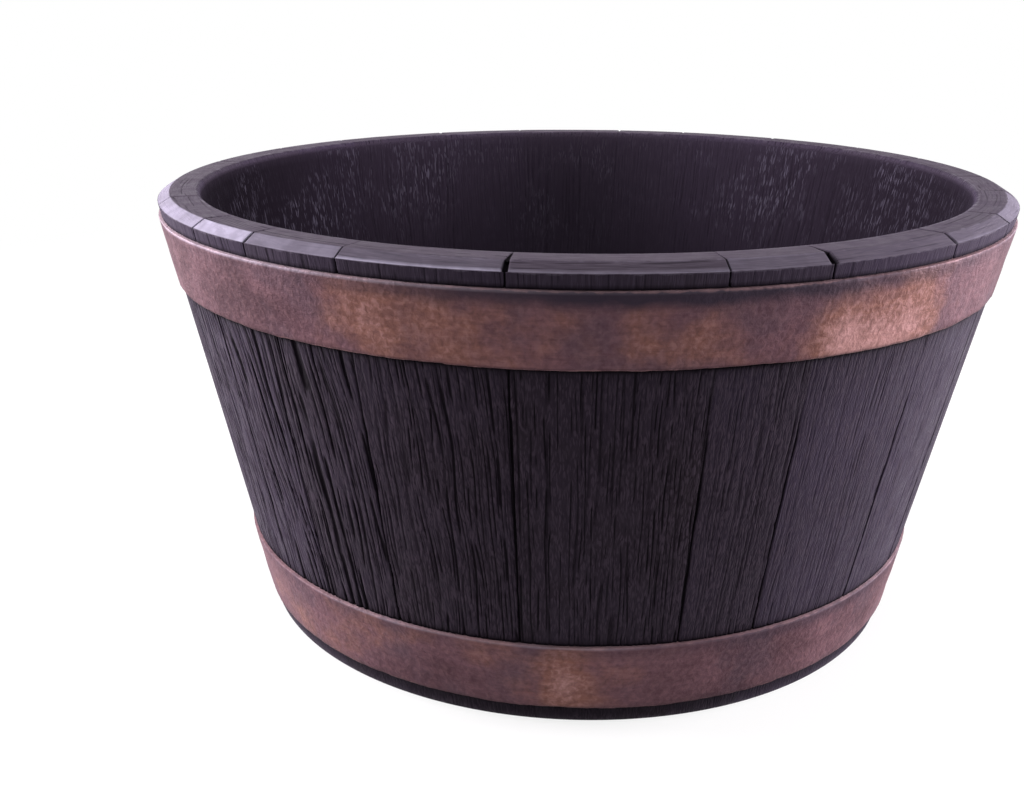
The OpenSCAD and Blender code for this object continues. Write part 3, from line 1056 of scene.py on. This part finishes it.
def rimRows():
    # side of the rim with upright ticks, its bevel, then its flat top, where the grain runs round
    sideNotch, bevelNotch, topNotch = rim["notches"]
    half, deep = rim["sideJoint"]
    behind, above = rim["rimSideShade"]
    rows = [plainRow(skirtInside, shoulder)]
    rows += [wallRow(z, jointHalf=half, jointDeep=deep, notch=sideNotch, carve=rim["carve"],
                     soot=above if z > shoulder else behind, edgeGap=bevelZ - z + 0.1, path=z)
             for z in np.linspace(shoulder, bevelZ, rim["sideRows"])]
    half, deep = rim["bevelJoint"]
    start, slope = rim["bevelPath"]
    for share in rim["bevelRows"]:
        rows.append(wallRow(bevelZ + barrel["bevelHeight"] * share,
                            faceRadius(bevelZ) - barrel["bevelWidth"] * share,
                            jointHalf=half, jointDeep=deep, notch=bevelNotch - 0.3 * share,
                            carve=rim["bevelCarve"], bevel=1.0, brink=1.0 if share < 0.1 else 0.0,
                            edgeGap=0.2 + 7.0 * min(share, 1 - share), turned=1.0,
                            path=bevelZ + start + slope * share))
    half, deep = rim["topJoint"]
    flat = bevelRadius - linerRadius(height) - barrel["mouthRound"]
    for share in np.linspace(0.02, 1.0, rim["topRows"]):
        rows.append(wallRow(height, bevelRadius - flat * share, jointHalf=half * (1.5 - 0.7 * share),
                            jointDeep=deep * (1.2 - 0.8 * share), notch=topNotch * (1 - share) ** 2,
                            carve=rim["carve"], edgeGap=0.3 + flat * min(share, 1 - share), turned=1.0,
                            path=bevelZ + rim["flatPath"] + flat * share))
    return rows


def linerRows():
    # rounded mouth, the inner wall, the floor's fillet, and back up the outside to the skirt
    bend, lean = barrel["mouthRound"], math.atan(taper)
    middle = Vector((linerRadius(height) + bend, height - bend))
    half, deep = rim["mouthJoint"]
    rows = []
    for share in rim["mouthRows"]:
        angle = math.pi / 2 + share * (math.pi / 2 - lean)
        rows.append(wallRow(middle.y + bend * math.sin(angle), middle.x + bend * math.cos(angle),
                            jointHalf=half, jointDeep=deep, carve=rim["carve"],
                            edgeGap=0.3 + share, path=bevelZ + rim["mouthPath"]))
    half, deep = rim["linerJoint"]
    bend, start = barrel["floorRound"], rim["linerStart"]
    low = barrel["floorTop"] + bend
    for share in np.linspace(0.0, 1.0, rim["linerRows"]):
        down = start + (height - start - low) * share ** rim["linerSpread"]
        rows.append(wallRow(height - down, linerRadius(height - down), jointHalf=half, jointDeep=deep,
                            carve=rim["linerCarve"] * min(1.0, down / rim["linerSmooth"]),
                            inside=min(1.0, down / rim["linerShadeReach"]), path=height - down))
    for share in rim["filletRows"]:
        angle = lean + share * (math.pi / 2 - lean)
        rows.append(wallRow(low - bend * math.sin(angle), floorEdge + bend * math.cos(angle), jointHalf=half,
                            jointDeep=deep, carve=rim["filletCarve"], inside=1.0, path=low - 8))
    back, heel = barrel["tubWall"], rim["heelBevel"]
    under = barrel["floorUnder"] + heel
    slope = barrel["bevelHeight"] / barrel["bevelWidth"]
    reach = bevelRadius - barrel["rimThick"] / 2
    return rows + [plainRow(floorEdge, barrel["floorTop"], path=barrel["floorTop"], inside=1.0),
                   plainRow(floorEdge, under), plainRow(linerRadius(under) + back - heel, under),
                   plainRow(linerRadius(under + heel) + back, under + heel),
                   plainRow(linerRadius(rimUnder) + back, rimUnder), plainRow(reach, rimUnder),
                   plainRow(skirtInside, rimUnder - (skirtInside - reach) * slope)]


def layGrain(mesh):
    # where a row is turned, the grain runs round the rim instead of up it
    angle, across, turned, path, notch, half, chip = [
        readValues(mesh, key)
        for key in ("angle", "across", "turned", "path", "notch", "jointHalf", "chip")]
    giveValues(mesh, "grainX", across * (1 - turned) + path * turned)
    giveValues(mesh, "grainY", path * (1 - turned) + angle * rim["turnRadius"] * turned)
    giveValues(mesh, "jointHalf", half + notch * (chip - 1.0).clip(0))
    # painted shade on the liner's inner wall, darkest at its left and right
    side = np.cos(angle)
    giveValues(mesh, "paintedSideShade", np.where(side < 0, rim["sideShadeLeft"], rim["sideShadeRight"]) * side ** 2)


def makeLiner():
    piece = turn("linerAndRim", rimRows() + linerRows(), staveColumns())
    layGrain(piece.data)
    runTree(piece, shapeGrain, {**rimGrain, "Material": finishes["rim"]})
    finish(piece, "inner_tub", "tub")


makeLiner()
print("liner and rim")


# Floor, webs under the rim

floorCut = {"reach": 0.5, "lowReach": 180.0, "low": -5.0, "step": 13.0, "high": 30.0, "columns": 176,
            "level": 0.9995}     # faces whose normals are as upright as this are shaded flat
# gap is from the spigot, sunk is into the liner and the rim, and step is down from the spigot's top
webs = {"count": 24, "thick": 2.4, "high": 24.0, "gap": 0.4, "sunk": 0.3, "step": 0.1}


def giveFlatLook(mesh, inside):
    # values that the rim's finish reads, on a piece without its own grain
    for key, value in (("seam", 0.0), ("strong", 0.15), ("inside", inside), ("edgeGap", clearOfEdges)):
        giveValues(mesh, key, [value] * len(mesh.vertices))


def floorCutter():
    # all that stays of the tub's solid: its floor, ribs and rings
    corners = [(floorCut["lowReach"], floorCut["low"]), (floorCut["lowReach"], floorCut["step"]),
               (floorEdge + floorCut["reach"], floorCut["step"]),
               (floorEdge + floorCut["reach"], floorCut["high"])]
    around = np.linspace(0, 2 * math.pi, floorCut["columns"], endpoint=False)
    cutter = bmesh.new()
    rings = [[cutter.verts.new((radius * math.cos(a) * mm, radius * math.sin(a) * mm, z * mm))
              for a in around] for radius, z in corners]
    for lower, upper in zip(rings, rings[1:]):
        addBand(cutter, lower, upper)
    cutter.faces.new(rings[0][::-1])
    cutter.faces.new(rings[-1])
    return newPiece("floorCutter", cutter)


def makeFloor():
    piece = link(bpy.data.objects.new("tubFloor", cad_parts["inner_tub"].data.copy()))
    mergeDoubles(piece.data)
    piece.data.materials.clear()
    piece.data.attributes.remove(piece.data.attributes["custom_normal"])
    tool = floorCutter()
    cut = piece.modifiers.new("cut", "BOOLEAN")
    cut.operation = "INTERSECT"
    cut.object = tool
    cut.solver = "EXACT"
    mesh = applied(piece)
    bpy.data.objects.remove(tool)
    mesh.materials.clear()
    mesh.materials.append(finishes["rim"])
    for face in mesh.polygons:
        face.use_smooth = abs(face.normal.z) < floorCut["level"]
    giveFlatLook(mesh, 0.5)
    points = np.zeros(len(mesh.vertices) * 3, dtype=np.float32)
    mesh.vertices.foreach_get("co", points)
    giveValues(mesh, "grain", points / mm, "FLOAT_VECTOR")
    finish(piece, "inner_tub", "tub", sharp=30.0)


makeFloor()
print("floor")


def websTree():
    # one web set round the middle as many times as asked
    tree, given = startTree("websRound", {"Count": webs["count"]})
    points = out(put(tree, "GeometryNodePoints", {"Count": given["Count"]}))
    turned = out(put(tree, "GeometryNodeInputIndex")) * (2 * math.pi) / given["Count"]
    placed = put(tree, "GeometryNodeInstanceOnPoints",
                 {"Points": points, "Instance": given["Geometry"], "Rotation": vector(0.0, 0.0, turned)})
    return endTree(given, out(placed))


def makeWebs():
    low, high, sunk = rimUnder - webs["high"], rimUnder + webs["sunk"], webs["sunk"]
    wall, reach, half = barrel["tubWall"], spigotInside - webs["gap"], webs["thick"] / 2
    outline = [(linerRadius(low) + wall - sunk, low), (reach, barrel["spigotTop"] - webs["step"]),
               (reach, high), (linerRadius(rimUnder) + wall - sunk, high)]
    work = bmesh.new()
    sides = [[work.verts.new((r * mm, y * mm, z * mm)) for r, z in outline] for y in (-half, half)]
    work.faces.new(sides[0])
    work.faces.new(sides[1][::-1])
    addBand(work, sides[1], sides[0])
    bmesh.ops.recalc_face_normals(work, faces=work.faces)
    piece = newPiece("rimWebs", work)
    giveFlatLook(piece.data, 1.0)
    runTree(piece, websTree(), {"Count": webs["count"], "Material": finishes["rim"]})
    finish(piece, "inner_tub", "tub")


makeWebs()
print("webs under the rim")


# Hoops

hoopShape = {
    "bevel": 0.8,
    "bevelRow": 0.3,         # share of the bevel at which a row rounds it
    "clear": 0.2,            # from the seat
    "rowSpacing": 2.6,
    "columns": 880,
}
hoopSizes = {
    "Dent Spacing": 30.0,
    "Dent Depth": 0.35,
    "Hammer Spacing": 7.0,
    "Hammer Depth": 0.10,
    "Edge Spacing": 5.0,
    "Edge Reach": 1.4,
    "Edge Depth": 0.2,
}


def hoopTree():
    tree, given = startTree("beatenHoop", hoopSizes)
    place = out(put(tree, "GeometryNodeInputPosition"))
    dent, hammer, edge = [noise(place, 1000.0 / given[key + " Spacing"], detail)
                          for key, detail in (("Dent", 1.0), ("Hammer", 1.0), ("Edge", 2.0))]
    near = 1.0 - ramp(named(tree, "edgeGap") / given["Edge Reach"], 0.0, 1.0)
    depth = ramp(dent, 0.42, 0.72) * given["Dent Depth"] + ramp(hammer, 0.4, 0.65) * given["Hammer Depth"]
    depth = depth + near * ramp(edge, 0.4, 0.68) * given["Edge Depth"]
    shape = pressIn(given["Geometry"], depth)
    x, y, z = parts(place)
    grain = vector(named(tree, "grainX"), x * 1000.0, y * 1000.0)
    return endTree(given, keep(shape, "grain", grain, "FLOAT_VECTOR"))


beatenHoop = hoopTree()

# Marks on the paint: bearing from the front, share of the height, spread in degrees, amount.
# Warmth is bright above 0 and dull below it, and its strong front marks are painted highlights; soot lies
# under the upper edge, and lip is a painted highlight along the upper edge.
hoopMarks = {
    "copperUpperHoop": {
        "warmthAndHighlight": [(-62, 0.5, 14, -0.35), (-42, 0.35, 12, -0.8), (-21, 0.5, 12, 0.75), (-8, 0.55, 7, 0.3),
                 (3, 0.5, 6, 0.25), (12, 0.4, 6, 0.35), (22, 0.5, 8, -0.3), (28, 0.5, 3, 0.4),
                 (34, 0.15, 8, 1.7), (50, 0.6, 8, 0.1), (66, 0.5, 9, -0.4), (100, 0.5, 14, 0.6),
                 (135, 0.5, 16, -0.4), (170, 0.5, 14, 0.5), (-150, 0.5, 16, -0.4), (-105, 0.5, 14, 0.45)],
        "soot": [(-12, 1.0, 12, 0.4), (6, 1.0, 14, 0.75), (24, 1.0, 13, 0.55), (42, 1.0, 10, 0.2),
                 (130, 1.0, 30, 0.6), (-140, 1.0, 25, 0.5)],
        "lip": [(-62, 1.0, 14, 0.7), (-40, 1.0, 14, 0.7), (-18, 1.0, 14, 0.35), (70, 1.0, 12, 0.4),
                (150, 1.0, 25, 0.4)],
    },
    "copperLowerHoop": {
        "warmthAndHighlight": [(-58, 0.5, 14, 0.3), (-34, 0.7, 10, 0.1), (-18, 0.3, 9, -0.35), (-17, 1.0, 14, 0.55),
                 (-1.0, 0.3, 3.6, 1.2), (12, 0.4, 7, -0.1), (28, 0.5, 12, -0.5), (52, 0.5, 16, -0.35),
                 (95, 0.5, 14, 0.5), (140, 0.5, 14, -0.4), (180, 0.5, 15, 0.55), (-120, 0.5, 18, -0.3),
                 (-90, 0.5, 10, 0.4)],
        "soot": [(40, 1.0, 25, 0.35), (-150, 1.0, 30, 0.5)],
        "lip": [(-28, 1.0, 16, 0.35), (0, 1.0, 10, 0.3), (60, 1.0, 20, 0.3), (150, 1.0, 25, 0.4)],
    },
}
plainPaint = {"warmthAndHighlight": 0.0, "soot": 0.25, "lip": 0.1}      # between the marks
markHeight = 0.6             # how far up and down a mark spreads, as a share of the hoop


def layMarks(mesh, name):
    # adds up the marks of each kind at each point of a hoop
    top = readValues(mesh, "topGap")
    bearing, share = np.degrees(readValues(mesh, "angle")) + 90.0, 1.0 - top / top.max()
    for kind, start in plainPaint.items():
        total = np.full(len(top), start)
        for spot, level, spread, amount in hoopMarks[name][kind]:
            off = (bearing - spot + 180.0) % 360.0 - 180.0
            total += amount * np.exp(-(off / spread) ** 2 - ((share - level) / markHeight) ** 2)
        giveValues(mesh, kind, total)


def makeHoop(name, node, corners):
    low, high = corners[0].z, corners[1].z
    bevel, proud = hoopShape["bevel"], barrel["hoopProud"]
    corner = bevel * hoopShape["bevelRow"]

    def row(radius, z, worked=True):
        return (radius, z, worked, {"grainX": z, "edgeGap": min(z - low, high - z), "topGap": high - z,
                                    "lowGap": z - low})

    heights = np.linspace(low + bevel, high - bevel, round((high - low) / hoopShape["rowSpacing"]))
    rows = [row(seatRadius(low) + hoopShape["clear"], low, False),
            row(faceRadius(low) + proud - bevel, low),
            row(faceRadius(low) + proud - corner, low + corner)]
    rows += [row(faceRadius(z) + proud, z) for z in heights]
    rows += [row(faceRadius(high) + proud - corner, high - corner),
             row(faceRadius(high) + proud - bevel, high),
             row(seatRadius(high) + hoopShape["clear"], high, False)]
    piece = turn(name, rows, evenColumns(hoopShape["columns"]))
    layMarks(piece.data, name)
    runTree(piece, beatenHoop, {"Material": finishes["copper"]})
    finish(piece, node, "tub")


makeHoop("copperUpperHoop", "upper_hoop", upperHoop)
makeHoop("copperLowerHoop", "lower_hoop", lowerHoop)
print("hoops")


# Drain plugs

plug = {
    "stem": 8.7,
    "stemLow": 6.0,
    "stemBevel": 1.2,
    "stemHollow": (0.45, 0.55, 0.5),     # under the stem: floor and edge as shares of it, and depth
    "head": 15.0,
    "headLow": 14.3,
    "headTop": 17.3,
    "headBevel": 0.4,
    "gripWidth": 18.0,
    "gripThick": 4.0,        # over the ribs
    "gripTop": 27.3,
    "gripRound": 5.0,
    "gripSunk": 0.5,         # into the head
    "gripFoot": (0.4, 1.0, 3.0),         # how far in at the bottom, and above it, and how far up that is
    "gripBevel": (0.6, 0.5),             # in from the outline, and in from each side
    "ribs": 3,
    "ribLow": 3.6,           # middle of the lowest rib above the grip's bottom
    "ribStep": 2.0,
    "ribEnds": (1.6, 0.5),   # how far in from the outline, and further for each rib above
    "ribProud": 0.4,
    "ribSunk": 0.3,
    "ribHalf": (0.55, 0.3),  # half a rib's height at the grip and outside
    "ribTaper": 0.4,         # how far its outer face stops short at each end
    # ring groove in the stem: how far in and at what height
    "grooveProfile": [(0.0, 9.4), (0.5, 9.8), (0.5, 10.6), (0.0, 11.0)],
    # rim and dish of the head, from outside: how far in and how far down
    "headProfile": [(0.0, 1.5), (0.35, 0.65), (1.1, 0.1), (1.8, 0.0), (3.2, 0.0), (3.8, 0.4), (5.0, 0.4),
                    (5.6, 0.0)],
    "columns": 72,
    "edgeBand": 1.2,         # outermost part of the head, which wears like an edge
    "edgeNear": 0.2,         # distance in mm given to what wears like an edge
    "edgeFar": 4.0,
}


def gripShape(work, edge):
    # upright tab with rounded shoulders and three ridges a side, in mm
    half, thick, bend = plug["gripWidth"] / 2, plug["gripThick"] / 2 - plug["ribProud"], plug["gripRound"]
    low, high = plug["headTop"] - plug["gripSunk"], plug["gripTop"]
    (footIn, neckIn, neckUp), (shrink, flat) = plug["gripFoot"], plug["gripBevel"]
    outline = [(half - footIn, low), (half - neckIn, low + neckUp)]
    outline += [(half - bend + bend * math.cos(a), high - bend + bend * math.sin(a))
                for a in np.linspace(0, math.pi / 2, 7)]
    outline += [(-x, z) for x, z in reversed(outline)]
    middle = Vector((0.0, (low + high) / 2))
    rings = []
    for y, inward in ((-thick, shrink), (flat - thick, 0.0), (thick - flat, 0.0), (thick, shrink)):
        ring = []
        for x, z in outline:
            toward = (middle - Vector((x, z))).normalized() * inward
            point = work.verts.new((x + toward.x, y, z if z == low else z + toward.y))
            point[edge] = plug["edgeNear"]
            ring.append(point)
        rings.append(ring)
    work.faces.new(rings[0])
    work.faces.new(rings[-1][::-1])
    for one, other in zip(rings, rings[1:]):
        addBand(work, other, one)
    (ends, shorter), (tall, outerTall) = plug["ribEnds"], plug["ribHalf"]
    for count in range(plug["ribs"]):
        wide, z = half - ends - shorter * count, low + plug["ribLow"] + plug["ribStep"] * count
        for side in (-1, 1):
            for point in bmesh.ops.create_cube(work, size=2.0)["verts"]:
                outer = point.co.y * side > 0
                point[edge] = plug["edgeNear"]
                point.co = Vector((point.co.x * (wide - plug["ribTaper"] * outer),
                                   side * (thick + (plug["ribProud"] if outer else -plug["ribSunk"])),
                                   z + point.co.z * (outerTall if outer else tall)))


def makePlug(number, spot):
    # a bung with a ring groove in its stem, a dished head and a ridged grip
    stem, head, bevel = plug["stem"], plug["head"], plug["stemBevel"]
    low, under, top = plug["stemLow"], plug["headLow"], plug["headTop"]
    (floor, lip, deep), corner = plug["stemHollow"], plug["headBevel"]
    outline = [(0.0, low + deep), (stem * floor, low + deep), (stem * lip, low), (stem - bevel, low),
               (stem - bevel * 0.3, low + bevel * 0.35), (stem, low + bevel)]
    outline += [(stem - inward, z) for inward, z in plug["grooveProfile"]]
    outline += [(stem, under), (head - corner, under), (head, under + corner)]
    outline += [(head - inward, top - down) for inward, down in plug["headProfile"]] + [(0.0, top)]
    rows = [(r, z, True, {"edgeGap": plug["edgeNear"] if r > head - plug["edgeBand"] else plug["edgeFar"]})
            for r, z in outline]
    piece = turn("bung%d" % number, rows, evenColumns(plug["columns"]), closed=False)
    work = bmesh.new()
    work.from_mesh(piece.data)
    for point in work.verts:
        point.co /= mm
    gripShape(work, work.verts.layers.float["edgeGap"])
    bmesh.ops.recalc_face_normals(work, faces=work.faces)
    bearing = math.atan2(spot.y, spot.x)
    bmesh.ops.transform(work, verts=work.verts, matrix=Matrix.Translation((spot.x, spot.y, 0))
                        @ Matrix.Diagonal((mm, mm, mm, 1)) @ Matrix.Rotation(bearing, 4, "Z"))
    for face in work.faces:
        face.smooth = True
    work.to_mesh(piece.data)
    work.free()
    piece.data.materials.append(finishes["rubber"])
    finish(piece, "drain_plug_%d" % number, "plug_%d" % number, sharp=32.0)


for number in range(1, 5):
    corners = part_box("drain_plug_%d" % number)
    makePlug(number, (corners[0] + corners[1]) / 2)
print("drain plugs")
